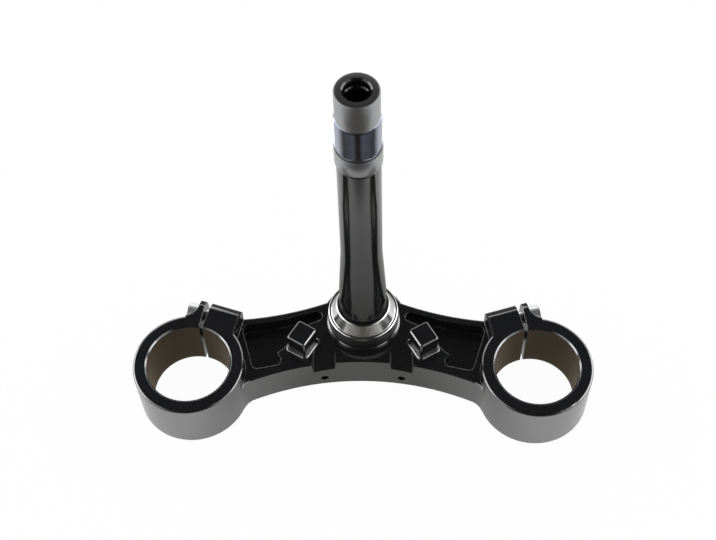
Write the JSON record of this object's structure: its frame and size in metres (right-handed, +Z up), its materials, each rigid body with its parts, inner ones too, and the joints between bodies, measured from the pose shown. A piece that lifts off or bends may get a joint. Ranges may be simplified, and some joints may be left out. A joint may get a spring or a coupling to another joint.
{
  "type": "lower triple clamp",
  "caption": "Machined lower fork clamp with two split rings, a pocketed bridge with steering stops and a tall hollow stem carrying a bearing race and dust seal.",
  "frame": {"origin": "stem axis in the plane of the clamp's underside", "axes": "+X to the right-hand fork as the viewer faces the front, +Y to the back of the motorcycle, +Z up the stem"},
  "size_m": [0.2904, 0.1032, 0.255],
  "materials": {
    "black_anodised": "gloss black anodised",
    "dark_stem": "satin black anodised",
    "ground_steel": "ground",
    "seal_rubber": "matt",
    "plated_bolt": "zinc plated"
  },
  "bodies": {
    "root": {"clamp_body": "black_anodised", "steering_stem": "dark_stem", "bearing_inner_race": "ground_steel", "dust_seal": "seal_rubber", "left_upper_pinch_bolt": "plated_bolt", "left_lower_pinch_bolt": "plated_bolt", "right_upper_pinch_bolt": "plated_bolt", "right_lower_pinch_bolt": "plated_bolt"}
  },
  "joints": []
}
